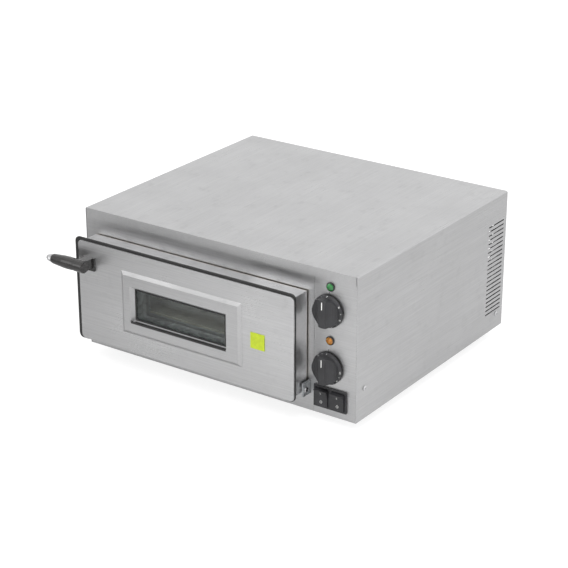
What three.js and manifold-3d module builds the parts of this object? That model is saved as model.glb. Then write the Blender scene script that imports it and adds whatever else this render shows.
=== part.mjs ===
// Countertop electric pizza oven: one stone-floored chamber behind a drop-down glazed door,
// with a control column on the right. Millimetres, +Z up, +Y towards the rear.
//
// The casing is laid out with x = 0 on its centre line, y = 0 on its front face and z = 0 on the
// worktop. The finished group is then shifted so that its origin is the bottom centre of its envelope.
import * as THREE from "three";
import { mergeVertices } from "three/addons/utils/BufferGeometryUtils.js";
import Module from "manifold-3d";

const wasm = await Module();
wasm.setup();

// ---------------------------------------------------------------- driving dimensions

const SHEET = 1.2; // stainless sheet
const FIT = 0.4; // clearance between neighbouring sheets
const FOOT_H = 20;

const BODY = { w: 560, d: 490, h: 256, bend: 3 };
const LEFT = -BODY.w / 2;
const RIGHT = BODY.w / 2;
const BOTTOM = FOOT_H;
const TOP = FOOT_H + BODY.h;
const INSIDE_X = RIGHT - SHEET - FIT; // half width available inside the wrap
const INSIDE_TOP = TOP - SHEET - FIT;
const LIP_H = 16; // the wrap's fold over the top of the front
const UPSTAND = 12; // the base pan's folded edge

const FACE = { y0: 0.3, y1: 0.3 + SHEET }; // front frame and control panel sheets
const REAR = { y0: BODY.d - FIT - SHEET, y1: BODY.d - FIT };
const RETURN_D = 42; // side returns that take the casing screws
const COLUMN_X = 198; // where the front frame ends and the control panel starts

const DOOR = { x0: -268, x1: 190.5, z0: BOTTOM + 32, z1: BOTTOM + 219.5, front: -46 };
const SKIN = {
  x0: DOOR.x0 + 8.5, // the seal stands out most on the handle side
  x1: DOOR.x1 - 0.5,
  z0: DOOR.z0,
  z1: DOOR.z1 - 4,
  back: DOOR.front + 2.5,
  r: 8,
};
const SEAL = { y0: SKIN.back + 0.3, y1: SKIN.back + 2.8, below: 2, curl: 20, r: 9 };
const PAN = { x0: SKIN.x0 + 3.5, x1: SKIN.x1 - 5, z0: DOOR.z0 + 5, z1: SKIN.z1 - 3.5, back: -2 };
const HINGE = { y: -14, z: PAN.z0 + 6, pin_r: 3 };

const SIGHT = { x0: -140, x1: 52, z0: BOTTOM + 92.5, z1: BOTTOM + 150.5 }; // opening at the glass
const BEZEL = {
  x0: -165,
  x1: 87,
  z0: BOTTOM + 67,
  z1: BOTTOM + 181,
  front: DOOR.front - 4,
  back: DOOR.front + 3.6,
  slope: 5.5, // how far the opening widens towards the front at its top and sides
  sill: 1, // how far the level sill lies below the lower edge of the glass
  edge: 6, // width of the sloping outer edge
};
const GASKET_Y = BEZEL.back + 0.3;
const OUTER_GLASS_Y = GASKET_Y + 1.3;
const GLASS_T = 4;
const SILL_SEAL = { h: 3, depth: 2.4, proud: 0.6 };

const HANDLE = { y: -71, z: BOTTOM + 180, root: -222, grip0: -244, grip1: -296, rod_r: 4 };
const LABEL = { x: 118.5, z: BOTTOM + 121.5, size: 28 };

const CHAMBER = { x0: -239, x1: 166, z0: BOTTOM + 48, z1: BOTTOM + 198, y0: 2, y1: 411.8 };
const STONE = { x0: -229, x1: 156, y0: 8, y1: 400, z0: CHAMBER.z0 + 27, t: 15 };
const HEATER = { r: 4, passes: [90, 170, 250, 330], left: -165, right: 110, terminal: 225 };
const HEATER_Z = { lower: CHAMBER.z0 + 12, upper: CHAMBER.z1 - 12 };
const LAMP_PORT = { y: 250, z: BOTTOM + 135, r: 20 };
const BULB_PORT = { y: 60, z: CHAMBER.z1 - 28 };
const WALL_X = 199.4; // sheet between the chamber and the control column

const DIAL_X = 226;
const PILOT_X = 229;
const TIMER = { z: BOTTOM + 186.5, pilot_z: BOTTOM + 228.5 };
const THERMOSTAT = { z: BOTTOM + 86, pilot_z: BOTTOM + 135 };
const SHAFT_R = 3;
const KNOB = { h: 22, ridge: 6, scoop_r: 14 };
const SWITCH = { x0: 199.5, x1: 262.5, z0: BOTTOM + 13, z1: BOTTOM + 51 };
const ROCKER_TILT = THREE.MathUtils.degToRad(8);

const FOOT_INSET = 50;
const SCREW = { inset: 24, front_z: BOTTOM + 55, rear_z: BOTTOM + 28 };
const LOUVRE = { y0: 427, y1: 480, z0: BOTTOM + 36, pitch: 8, count: 22, h: 2.4 };
const GLAND = { x: 240, z: BOTTOM + 40 };
const CORD_R = 4;

// ---------------------------------------------------------------- materials

const finish = (color, roughness, metalness) =>
  new THREE.MeshStandardMaterial({ color, roughness, metalness });
const steel = finish(0xc4c5c6, 0.35, 1);
const bright_steel = finish(0xd2d3d4, 0.2, 1);
const chamber_steel = finish(0x9c9a95, 0.45, 1);
const galvanised = finish(0xa8acae, 0.5, 1);
const brass = finish(0xb08d4a, 0.4, 1);
const black_plastic = finish(0x17181a, 0.45, 0);
const white_plastic = finish(0xd9d8d2, 0.5, 0);
const silicone = finish(0x121212, 0.7, 0);
const wool = finish(0xd8d2bd, 1, 0);
const cordierite = finish(0xc9b79a, 0.9, 0);
const element_sheath = finish(0x4b4a4a, 0.6, 1);
const glass = new THREE.MeshStandardMaterial({
  color: 0x2a2d2f,
  roughness: 0.05,
  metalness: 0,
  transparent: true,
  opacity: 0.5,
});
const amber = finish(0xd8860b, 0.2, 0);
const green = finish(0x2f9e44, 0.2, 0);
const yellow = finish(0xd9e021, 0.5, 0);

// ---------------------------------------------------------------- solids

const casing = new THREE.Group();
const chamber = new THREE.Group();
const controls = new THREE.Group();
const mains = new THREE.Group();
const door = new THREE.Group();
const oven = new THREE.Group();
oven.add(casing, chamber, controls, mains, door);

function solid(geometry) {
  const bare = geometry.clone();
  bare.deleteAttribute("normal");
  bare.deleteAttribute("uv");
  const merged = mergeVertices(bare, 1e-4);
  return new wasm.Manifold(
    new wasm.Mesh({
      numProp: 3,
      vertProperties: merged.attributes.position.array,
      triVerts: new Uint32Array(merged.index.array),
    }),
  );
}

function geometryOf(shape) {
  const mesh = shape.getMesh();
  const geometry = new THREE.BufferGeometry();
  geometry.setAttribute("position", new THREE.BufferAttribute(mesh.vertProperties, 3));
  geometry.setIndex(new THREE.BufferAttribute(mesh.triVerts, 1));
  geometry.computeVertexNormals();
  return geometry;
}

function add(group, name, shape, material, at = [0, 0, 0]) {
  const mesh = new THREE.Mesh(geometryOf(shape), material);
  mesh.name = name;
  mesh.position.set(...at);
  group.add(mesh);
}

function block(x0, x1, y0, y1, z0, z1) {
  const box = new THREE.BoxGeometry(x1 - x0, y1 - y0, z1 - z0);
  return solid(box.translate((x0 + x1) / 2, (y0 + y1) / 2, (z0 + z1) / 2));
}

// A block whose sides slope: `wider` is how far each side stands out more at y1 than at y0.
function sloped(x0, x1, y0, y1, z0, z1, wider) {
  const box = new THREE.BoxGeometry(x1 - x0, y1 - y0, z1 - z0);
  const points = box.attributes.position;
  for (let i = 0; i < points.count; i++) {
    if (points.getY(i) < 0) continue;
    points.setX(i, points.getX(i) + Math.sign(points.getX(i)) * wider);
    points.setZ(i, points.getZ(i) + Math.sign(points.getZ(i)) * wider);
  }
  return solid(box.translate((x0 + x1) / 2, (y0 + y1) / 2, (z0 + z1) / 2));
}

const UP = new THREE.Vector3(0, 1, 0);
const AXES = {
  x: new THREE.Vector3(1, 0, 0),
  y: new THREE.Vector3(0, 1, 0),
  z: new THREE.Vector3(0, 0, 1),
};

// A cylinder along an axis, from one coordinate on that axis to another, through the point `at`.
function rod(axis, r, from, to, at = [0, 0, 0], segments = 16) {
  const cylinder = new THREE.CylinderGeometry(r, r, to - from, segments);
  cylinder.applyQuaternion(new THREE.Quaternion().setFromUnitVectors(UP, AXES[axis]));
  const centre = new THREE.Vector3(...at);
  centre[axis] = (from + to) / 2;
  return solid(cylinder.translate(centre.x, centre.y, centre.z));
}

// A lathe-turned solid: [radius, height] points, the height running from the origin along `direction`.
function turned(profile, direction, segments) {
  const points = profile.map(([r, h]) => new THREE.Vector2(r, h));
  const lathe = new THREE.LatheGeometry(points, segments);
  const way = new THREE.Vector3(...direction);
  return solid(lathe.applyQuaternion(new THREE.Quaternion().setFromUnitVectors(UP, way)));
}

// A tube along a smooth curve.
function tube(curve, r, steps, sides = 8) {
  const section = new THREE.Shape();
  for (let i = 0; i < sides; i++) {
    const a = (2 * Math.PI * i) / sides;
    const method = i ? "lineTo" : "moveTo";
    section[method](r * Math.cos(a), r * Math.sin(a));
  }
  return solid(new THREE.ExtrudeGeometry(section, { steps, extrudePath: curve }));
}

const smooth = (points) =>
  new THREE.CatmullRomCurve3(points.map((p) => new THREE.Vector3(...p)));

const joined = (shapes) => shapes.reduce((whole, shape) => whole.add(shape));
const cutBy = (shape, tools) => tools.reduce((rest, tool) => rest.subtract(tool), shape);

// An outline in the XZ plane, pushed back from y0 to y1.
function pushed(shape, y0, y1) {
  const geometry = new THREE.ExtrudeGeometry(shape, {
    depth: y1 - y0,
    bevelEnabled: false,
    curveSegments: 4,
  });
  return solid(geometry.rotateX(Math.PI / 2).translate(0, y1, 0));
}

// A flat plate from y0 to y1 with rounded corners.
function roundedPlate(x0, x1, y0, y1, z0, z1, r) {
  const s = new THREE.Shape();
  s.moveTo(x0 + r, z0);
  s.absarc(x1 - r, z0 + r, r, -Math.PI / 2, 0, false);
  s.absarc(x1 - r, z1 - r, r, 0, Math.PI / 2, false);
  s.absarc(x0 + r, z1 - r, r, Math.PI / 2, Math.PI, false);
  s.absarc(x0 + r, z0 + r, r, Math.PI, (3 * Math.PI) / 2, false);
  return pushed(s, y0, y1);
}

// ---------------------------------------------------------------- casing

function casingOutline() {
  const r = BODY.bend;
  const inner = r - SHEET;
  const s = new THREE.Shape();
  s.moveTo(LEFT, BOTTOM);
  s.lineTo(LEFT + SHEET, BOTTOM);
  s.lineTo(LEFT + SHEET, TOP - r);
  s.absarc(LEFT + r, TOP - r, inner, Math.PI, Math.PI / 2, true);
  s.lineTo(RIGHT - r, TOP - SHEET);
  s.absarc(RIGHT - r, TOP - r, inner, Math.PI / 2, 0, true);
  s.lineTo(RIGHT - SHEET, BOTTOM);
  s.lineTo(RIGHT, BOTTOM);
  s.lineTo(RIGHT, TOP - r);
  s.absarc(RIGHT - r, TOP - r, r, 0, Math.PI / 2, false);
  s.lineTo(LEFT + r, TOP);
  s.absarc(LEFT + r, TOP - r, r, Math.PI / 2, Math.PI, false);
  return s;
}

function screwPlaces() {
  const rear = BODY.d - SCREW.inset;
  return [
    ["left_front", -1, SCREW.inset, SCREW.front_z],
    ["left_rear", -1, rear, SCREW.rear_z],
    ["right_front", 1, SCREW.inset, SCREW.front_z],
    ["right_rear", 1, rear, SCREW.rear_z],
  ];
}

const screwHoles = () =>
  screwPlaces().map(([, side, y, z]) => {
    const x = side * RIGHT;
    return rod("x", 2.3, x - 10, x + 10, [0, y, z], 12);
  });

// Ventilation slots at the back of the right side, through the wrap and the return behind it.
const louvreSlots = () =>
  Array.from({ length: LOUVRE.count }, (_, i) => {
    const z = LOUVRE.z0 + i * LOUVRE.pitch;
    return block(RIGHT - 5, RIGHT + 5, LOUVRE.y0, LOUVRE.y1, z, z + LOUVRE.h);
  });

function casingWrap() {
  const lipX = RIGHT - BODY.bend;
  const lip = block(-lipX, lipX, -SHEET, 0, TOP - LIP_H, TOP);
  const lipRoot = block(-lipX, lipX, -SHEET, 1, TOP - SHEET + 0.1, TOP);
  const wrap = joined([pushed(casingOutline(), 0, BODY.d), lip, lipRoot]);
  return cutBy(wrap, [...louvreSlots(), ...screwHoles()]);
}

function basePan() {
  const x = INSIDE_X;
  const pan = block(-x, x, 2, REAR.y0 - FIT, BOTTOM, BOTTOM + UPSTAND);
  const hollow = block(-x + SHEET, x - SHEET, 2 + SHEET, REAR.y0 - FIT - SHEET, BOTTOM + SHEET, 90);
  const footHoles = footPlaces().map(([, fx, fy]) => rod("z", 3, 0, 40, [fx, fy, 0], 12));
  const vents = Array.from({ length: 6 }, (_, i) => {
    const y = 110 + i * 14;
    return block(COLUMN_X + 16, RIGHT - 16, y, y + 4, BOTTOM - 5, BOTTOM + 5);
  });
  return cutBy(pan, [hollow, ...footHoles, ...vents]);
}

// Takes off the top corners of a folded sheet so that it clears the wrap's inner bends.
function cornersOff(shape) {
  const trim = 1;
  const s = new THREE.Shape();
  s.moveTo(-INSIDE_X, 0);
  s.lineTo(INSIDE_X, 0);
  s.lineTo(INSIDE_X, INSIDE_TOP - trim);
  s.lineTo(INSIDE_X - trim, INSIDE_TOP);
  s.lineTo(-INSIDE_X + trim, INSIDE_TOP);
  s.lineTo(-INSIDE_X, INSIDE_TOP - trim);
  return shape.intersect(pushed(s, -10, BODY.d + 10));
}

// Side returns start above the base pan's upstand.
const sideReturn = (x0, y0, y1) =>
  block(x0, x0 + SHEET, y0, y1, BOTTOM + UPSTAND + 2, INSIDE_TOP);

function frontFrame() {
  const x1 = COLUMN_X - FIT / 2;
  const sheet = block(-INSIDE_X, x1, FACE.y0, FACE.y1, BOTTOM, INSIDE_TOP);
  const top = block(-INSIDE_X, x1, FACE.y0, 14, INSIDE_TOP - SHEET, INSIDE_TOP);
  const left = sideReturn(-INSIDE_X, FACE.y0, RETURN_D);
  const mouth = block(
    CHAMBER.x0 + 3, CHAMBER.x1 - 3, -5, 5, CHAMBER.z0 + 3, CHAMBER.z1 - 3,
  );
  const slots = [-1, 1].map((side) => {
    const [x0, x2] = lugSpan(side);
    return block(x0 - FIT, x2 + FIT, -5, 5, HINGE.z - 12 - FIT, HINGE.z + 12 + FIT);
  });
  return cornersOff(cutBy(joined([sheet, top, left]), [mouth, ...slots, ...screwHoles()]));
}

function controlPanel() {
  const x0 = COLUMN_X + FIT / 2;
  const sheet = block(x0, INSIDE_X, FACE.y0, FACE.y1, BOTTOM, INSIDE_TOP);
  const top = block(x0, INSIDE_X, FACE.y0, 14, INSIDE_TOP - SHEET, INSIDE_TOP);
  const right = sideReturn(INSIDE_X - SHEET, FACE.y0, RETURN_D);
  const holes = [TIMER, THERMOSTAT].flatMap(({ z, pilot_z }) => [
    rod("y", 5, -5, 5, [DIAL_X, 0, z]),
    rod("y", 6.2, -5, 5, [PILOT_X, 0, pilot_z]),
  ]);
  const cutout = block(SWITCH.x0 + 1.1, SWITCH.x1 - 1.1, -5, 5, SWITCH.z0 + 1.1, SWITCH.z1 - 1.1);
  return cornersOff(cutBy(joined([sheet, top, right]), [...holes, cutout, ...screwHoles()]));
}

function rearPanel() {
  const sheet = block(-INSIDE_X, INSIDE_X, REAR.y0, REAR.y1, BOTTOM, INSIDE_TOP);
  const front = BODY.d - RETURN_D;
  const top = block(-INSIDE_X, INSIDE_X, BODY.d - 14, REAR.y1, INSIDE_TOP - SHEET, INSIDE_TOP);
  const sides = [-INSIDE_X, INSIDE_X - SHEET].map((x) => sideReturn(x, front, REAR.y1));
  const glandHole = rod("y", 9.5, REAR.y0 - 5, BODY.d + 5, [GLAND.x, 0, GLAND.z]);
  const vents = Array.from({ length: 6 }, (_, i) => {
    const z = BOTTOM + 120 + i * 16;
    return block(RIGHT - 66, RIGHT - 16, REAR.y0 - 5, BODY.d + 5, z, z + 5);
  });
  const openings = [glandHole, ...vents, ...louvreSlots(), ...screwHoles()];
  return cornersOff(cutBy(joined([sheet, top, ...sides]), openings));
}

function casingScrew(side) {
  const screw = turned(
    [[0, -8], [2, -8], [2, 0.3], [4.5, 0.3], [4.2, 1.6], [3, 2.6], [0, 2.8]],
    [side, 0, 0], 12,
  );
  const [x0, x1] = side < 0 ? [-4, -1.4] : [1.4, 4];
  return cutBy(screw, [block(x0, x1, -0.45, 0.45, -2.2, 2.2), block(x0, x1, -2.2, 2.2, -0.45, 0.45)]);
}

function footPlaces() {
  const x = RIGHT - FOOT_INSET;
  const rear = BODY.d - FOOT_INSET;
  return [
    ["front_left", -x, FOOT_INSET],
    ["front_right", x, FOOT_INSET],
    ["rear_left", -x, rear],
    ["rear_right", x, rear],
  ];
}

const foot = () =>
  turned(
    [[0, 5], [6, 5], [6, 0], [14, 0], [15, 1], [17.5, FOOT_H - FIT], [0, FOOT_H - FIT]],
    [0, 0, 1], 16,
  );

// ---------------------------------------------------------------- chamber

const terminalPorts = () =>
  [HEATER_Z.lower, HEATER_Z.upper].flatMap((z) => [
    [HEATER.passes[0], z, HEATER.r + 2],
    [HEATER.passes.at(-1), z, HEATER.r + 2],
  ]);

// Holes for what passes sideways from the chamber to the control column.
const sidePorts = (x0, x1, grow = 0) =>
  [...terminalPorts(), [BULB_PORT.y, BULB_PORT.z, 3.5], [LAMP_PORT.y, LAMP_PORT.z, LAMP_PORT.r]]
    .map(([y, z, r]) => rod("x", r + grow, x0, x1, [0, y, z], 12));

function chamberLiner() {
  const c = CHAMBER;
  const flange = block(c.x0 - 6, c.x1 + 6, c.y0, c.y0 + SHEET, c.z0 - 6, c.z1 + 6);
  const shell = block(c.x0 - SHEET, c.x1 + SHEET, c.y0, c.y1 + SHEET, c.z0 - SHEET, c.z1 + SHEET);
  const room = block(c.x0, c.x1, c.y0 - 5, c.y1, c.z0, c.z1);
  return cutBy(joined([shell, flange]), [room, ...sidePorts(c.x1 - 3, c.x1 + 5)]);
}

function chamberInsulation() {
  const c = CHAMBER;
  const gap = SHEET + FIT;
  const wrap = block(-INSIDE_X + gap, WALL_X - FIT, 16, REAR.y0 - 2.5, BOTTOM + 1.8, INSIDE_TOP - 1.8);
  const room = block(c.x0 - gap, c.x1 + gap, 0, c.y1 + gap, c.z0 - gap, c.z1 + gap);
  return cutBy(wrap, [room, ...sidePorts(c.x1, WALL_X + 5, 1.5), ...screwHoles()]);
}

const compartmentWall = () =>
  cutBy(
    block(WALL_X, WALL_X + SHEET, 16, REAR.y0 - 2, BOTTOM + 1.6, INSIDE_TOP - 1.6),
    sidePorts(WALL_X - 5, WALL_X + 5, 1.5),
  );

const bakingStone = () =>
  block(STONE.x0, STONE.x1, STONE.y0, STONE.y1, STONE.z0, STONE.z0 + STONE.t);

function stoneRail(side) {
  const wall = side < 0 ? CHAMBER.x0 + 0.2 : CHAMBER.x1 - 0.2;
  const span = (depth) => (side < 0 ? [wall, wall + depth] : [wall - depth, wall]);
  const top = STONE.z0 - 0.3;
  const shelf = block(...span(20), STONE.y0, STONE.y1, top - 1.5, top);
  const web = block(...span(1.5), STONE.y0, STONE.y1, top - 10, top);
  return joined([shelf, web]);
}

// The element's centre line: straight passes joined by half turns, both ends in the control column.
// Each leg has its own number of facets, so t runs evenly over facets and not over length.
class ElementCurve extends THREE.Curve {
  constructor() {
    super();
    const { passes, left, right, terminal } = HEATER;
    const [a, b, c, d] = passes;
    const r = (b - a) / 2;
    const line = (x0, x1, y) => ({ facets: 1, at: (t) => [x0 + (x1 - x0) * t, y] });
    const turn = (x, y, way) => ({
      facets: 6,
      at: (t) => [x + way * r * Math.sin(Math.PI * t), y - r * Math.cos(Math.PI * t)],
    });
    this.legs = [
      line(terminal, left, a), turn(left, a + r, -1), line(left, right, b),
      turn(right, b + r, 1), line(right, left, c), turn(left, c + r, -1), line(left, terminal, d),
    ];
    this.facets = this.legs.reduce((sum, leg) => sum + leg.facets, 0);
  }
  getUtoTmapping(u) {
    return u;
  }
  getPoint(t, target = new THREE.Vector3()) {
    let rest = t * this.facets;
    let index = 0;
    while (index < this.legs.length - 1 && rest > this.legs[index].facets) {
      rest -= this.legs[index].facets;
      index += 1;
    }
    const leg = this.legs[index];
    const [x, y] = leg.at(Math.min(rest / leg.facets, 1));
    return target.set(x, y, 0);
  }
}

function heater() {
  const line = new ElementCurve();
  return tube(line, HEATER.r, line.facets);
}

function thermostatBulb() {
  const { y, z } = BULB_PORT;
  const x = CHAMBER.x1 - 16;
  const bulb = rod("y", 3, y + 20, y + 110, [x, 0, z], 10);
  const capillary = tube(
    smooth([[x, y + 25, z], [x, y + 10, z], [x + 6, y, z], [x + 30, y, z], [WALL_X + 10, y, z],
      [WALL_X + 22, y - 2, z - 20], [DIAL_X, 54, THERMOSTAT.z + 30], [DIAL_X, 51.7, THERMOSTAT.z]]),
    1.2, 26, 5,
  );
  return joined([bulb, capillary]);
}

// The lamp's pieces are turned about their port, with x = 0 on the chamber's side wall.
const lampHousing = () =>
  turned(
    [[0, 60], [12, 60], [17, 50], [17, 4], [18.5, 4], [18.5, 52], [13, 62], [0, 62]],
    [1, 0, 0], 16,
  );

const lampLens = () =>
  turned(
    [[0, -12], [8, -11], [15, -7], [18, -1], [22, -0.5], [22, -0.2], [16.4, -0.2], [16.4, 2],
      [14.5, 2], [14.5, -3], [8, -9], [0, -10]],
    [1, 0, 0], 16,
  );

const lampBulb = () =>
  turned(
    [[0, 4], [6, 6], [10, 14], [10, 22], [7, 32], [7, 46], [3, 49], [0, 49]],
    [1, 0, 0], 12,
  );

// ---------------------------------------------------------------- controls

// Each control is built about its own shaft, with y = 0 on the panel's front.
function controlUnit() {
  const body = block(-22, 22, 12, 50, -22, 22);
  const neck = rod("y", 4.6, -1, 13);
  const bore = rod("y", SHAFT_R + 0.3, -5, 23);
  return cutBy(joined([body, neck]), [bore]);
}

const controlShaft = () => rod("y", SHAFT_R, -12, 22);

// A round knob scooped away on both sides to leave a finger ridge across its front.
function knob() {
  const body = turned(
    [[0, 1.2], [27, 1.2], [28, 2.2], [28, 4.5], [26, 6.5], [24.8, 7.5], [24, KNOB.h - 2],
      [22.8, KNOB.h - 0.5], [0, KNOB.h]],
    [0, -1, 0], 30,
  );
  const away = KNOB.ridge + KNOB.scoop_r - 0.5;
  const scoops = [-away, away].map((x) =>
    rod("z", KNOB.scoop_r, -30, 30, [x, -KNOB.h - 4, 0], 24),
  );
  const bore = rod("y", SHAFT_R + 0.2, -13, 0);
  return cutBy(body, [...scoops, bore]);
}

const pilotLamp = () =>
  turned(
    [[0, -26], [5.6, -26], [5.6, 0], [8, 0], [8, 1.5], [6.5, 2], [6, 3.5], [3.5, 5], [0, 5.4]],
    [0, -1, 0], 14,
  );

function rockerPlace(index) {
  const half = (SWITCH.x1 - SWITCH.x0) / 2;
  return SWITCH.x0 + half * (index + 0.5);
}

function switchHousing() {
  const s = SWITCH;
  const bezel = block(s.x0, s.x1, -3, 0, s.z0, s.z1);
  const body = block(s.x0 + 1.5, s.x1 - 1.5, -1, 28, s.z0 + 1.5, s.z1 - 1.5);
  const pockets = [0, 1].map((i) => {
    const x = rockerPlace(i);
    return block(x - 12.6, x + 12.6, -10, 12, s.z0 + 3.2, s.z1 - 3.2);
  });
  return cutBy(joined([bezel, body]), pockets);
}

// A see-saw cap about its own pivot, tipped to off with its lower end in.
function rocker() {
  const s = new THREE.Shape();
  s.moveTo(-14.4, 10);
  s.quadraticCurveTo(0, 4.5, 14.4, 10);
  s.lineTo(14.4, -1);
  s.lineTo(5, -6);
  s.lineTo(-5, -6);
  s.lineTo(-14.4, -1);
  const geometry = new THREE.ExtrudeGeometry(s, {
    depth: 24.4, bevelEnabled: false, curveSegments: 6,
  });
  // Shape x runs up the panel and shape y runs out of it.
  geometry.translate(0, 0, -12.2);
  geometry.applyMatrix4(
    new THREE.Matrix4().makeBasis(
      new THREE.Vector3(0, 0, 1), new THREE.Vector3(0, -1, 0), new THREE.Vector3(1, 0, 0),
    ),
  );
  return solid(geometry.rotateX(ROCKER_TILT));
}

const wiringLoom = () =>
  tube(
    smooth([[241, 398, 34], [241, 340, 30], [243, 200, 32], [246, 90, 36], [264, 66, 60],
      [268, 60, 110], [268, 60, 180], [266, 58, 240]]),
    3, 26, 6,
  );

const terminalBlock = () => block(218, 264, 400, 420, BOTTOM + 1.6, BOTTOM + 18);

// ---------------------------------------------------------------- mains cord

const cordGland = () =>
  turned(
    [[4.7, -14], [9, -14], [9, -0.2], [13, 0.2], [13, 4], [10, 6], [8, 16], [4.7, 16], [4.7, -14]],
    [0, 1, 0], 14,
  );

function powerCord() {
  const { x, z } = GLAND;
  const d = BODY.d;
  return tube(
    smooth([[x, 428, 36], [x, 448, 50], [x, d - 24, z], [x, d - 8, z], [x, d + 8, z], [x, d + 17, z],
      [x - 2, d + 30, z - 12], [x - 12, d + 36, 24], [x - 40, d + 34, 8], [x - 70, d + 32, 12],
      [x - 100, d + 32, 18], [x - 125, d + 32, 19]]),
    CORD_R, 44, 8,
  );
}

function powerPlug() {
  const body = turned(
    [[4.4, 0], [6, 0], [7, 14], [15, 20], [18, 24], [18, 52], [0, 52], [0, 4], [4.4, 4], [4.4, 0]],
    [-1, 0, 0], 16,
  );
  const pins = [-9.5, 9.5].map((y) => rod("x", 2.4, -71, -50, [0, y, 0], 8));
  return joined([body, ...pins]);
}

// ---------------------------------------------------------------- door

// The window opening grown by a margin on every side, from y0 to y1.
function sightBlock(grow, y0, y1) {
  const { x0, x1, z0, z1 } = SIGHT;
  return block(x0 - grow, x1 + grow, y0, y1, z0 - grow, z1 + grow);
}

function doorSkin() {
  const s = SKIN;
  const tray = roundedPlate(s.x0, s.x1, DOOR.front, s.back, s.z0, s.z1, s.r);
  const hollow = roundedPlate(
    s.x0 + SHEET, s.x1 - SHEET, DOOR.front + SHEET, s.back + 5, s.z0 + SHEET, s.z1 - SHEET,
    s.r - SHEET,
  );
  return cutBy(tray, [hollow, sightBlock(9.8, -60, -40)]);
}

function doorPan() {
  const p = PAN;
  const front = DOOR.front + SHEET + FIT;
  const tray = block(p.x0, p.x1, front, p.back, p.z0, p.z1);
  const hollow = block(
    p.x0 + SHEET, p.x1 - SHEET, front - 5, p.back - SHEET, p.z0 + SHEET, p.z1 - SHEET,
  );
  const pivots = [p.x0, p.x1].map((x) =>
    rod("x", HINGE.pin_r + 0.4, x - 5, x + 5, [0, HINGE.y, HINGE.z]),
  );
  return cutBy(tray, [hollow, sightBlock(0, -10, 5), ...pivots]);
}

function doorInsulation() {
  const p = PAN;
  const gap = SHEET + FIT;
  const front = DOOR.front + 2.2;
  const pad = block(p.x0 + gap, p.x1 - gap, front, p.back - gap, p.z0 + gap, p.z1 - gap);
  const pivots = [p.x0, p.x1].map((x) =>
    rod("x", 8, x - 20, x + 20, [0, HINGE.y, HINGE.z], 12),
  );
  return cutBy(pad, [sightBlock(20, -60, 5), ...pivots]);
}

// Silicone seal that stands out all round behind the skin, open along the bottom edge.
function doorGasket() {
  const { y0, y1, below, curl, r } = SEAL;
  const bottom = DOOR.z0 - below;
  const ring = roundedPlate(DOOR.x0, DOOR.x1, y0, y1, bottom, DOOR.z1, r);
  const gap = 0.3;
  const inside = block(PAN.x0 - gap, PAN.x1 + gap, y0 - 5, y1 + 5, PAN.z0 - gap, PAN.z1 + gap);
  const open = block(DOOR.x0 + curl, DOOR.x1 - curl, y0 - 5, y1 + 5, 0, PAN.z0 + 5);
  return cutBy(ring, [inside, open]);
}

// Raised frame with sloping outer edges, and an opening with a level sill grooved for its seal.
function windowBezel() {
  const b = BEZEL;
  const e = b.edge;
  const g = b.slope;
  const { x0, x1, z0, z1 } = SIGHT;
  const flange = sloped(
    b.x0 + e, b.x1 - e, b.front, DOOR.front - 0.2, b.z0 + e, b.z1 - e, e,
  );
  const collar = sightBlock(9.4, DOOR.front - 1, b.back);
  const funnel = sloped(x0 - g, x1 + g, b.front - 0.01, b.back + 0.01, z0 - g, z1 + g, -g);
  const sill = block(x0 - 2 * g, x1 + 2 * g, b.front - 1, b.back + 1, z0 - 2 * g, z0 - b.sill);
  const opening = cutBy(funnel, [sill]);
  return cutBy(joined([flange, collar]), [opening, sillStrip(0.3, 5)]);
}

// The strip along the front of the sill: `gap` wider than the seal itself, and proud by `proud`.
function sillStrip(gap, proud) {
  const { x0, x1, z0 } = SIGHT;
  const top = z0 - BEZEL.sill + 0.4;
  const back = BEZEL.front + SILL_SEAL.depth + gap;
  const bottom = top - SILL_SEAL.h;
  return block(x0 - 4 - gap, x1 + 4 + gap, BEZEL.front - proud, back, bottom - gap, top + gap);
}

const sillSeal = () => sillStrip(0, SILL_SEAL.proud);

// Thin seal under the outer pane; its inner edge shows as a black line round the glass.
const windowGasket = () =>
  cutBy(sightBlock(8, GASKET_Y, GASKET_Y + 1), [sightBlock(-3, GASKET_Y - 5, GASKET_Y + 5)]);

const pane = () => sightBlock(9, 0, GLASS_T);

// Frame that clamps the outer pane, with a tunnel that reaches back to the inner pane.
function windowRetainer() {
  const front = OUTER_GLASS_Y + GLASS_T + 0.3;
  const frame = sightBlock(17, front, front + 2);
  const tunnel = sightBlock(5, front, PAN.back - 6.2);
  return cutBy(joined([frame, tunnel]), [sightBlock(3.8, -60, 5)]);
}

function doorLabel() {
  const half = LABEL.size / 2;
  return block(-half, half, -0.9, -0.2, -half, half);
}

function handleBracket() {
  const { y, z, root, grip0, rod_r } = HANDLE;
  const x0 = grip0 + FIT;
  const base = block(x0 - 3, root, DOOR.front - 4, DOOR.front - 0.2, z - 15, z + 9);
  const post = block(x0, root - 3, y, DOOR.front - 1, z - 9, z + 9);
  const eye = rod("x", 11, x0, root - 3, [0, y, z], 24);
  const bore = rod("x", rod_r + 0.3, x0 - 5, root - 6, [0, y, z]);
  return cutBy(joined([base, post, eye]), [bore]);
}

const handleRod = () =>
  rod("x", HANDLE.rod_r, HANDLE.grip1 - 6, HANDLE.root - 6.5, [0, HANDLE.y, HANDLE.z]);

function handleGrip() {
  const length = HANDLE.grip0 - HANDLE.grip1;
  const bore = HANDLE.rod_r + 0.3;
  const share = [0, 0.03, 0.12, 0.3, 0.5, 0.75, 0.95, 1];
  const radius = [9.2, 10.2, 10.9, 11.2, 10.8, 9.6, 8.7, 7.8];
  const outside = share.map((s, i) => [radius[i], s * length]);
  return turned(
    [[bore, 0], ...outside, [bore, length], [bore, 0]],
    [-1, 0, 0], 20,
  );
}

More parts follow.
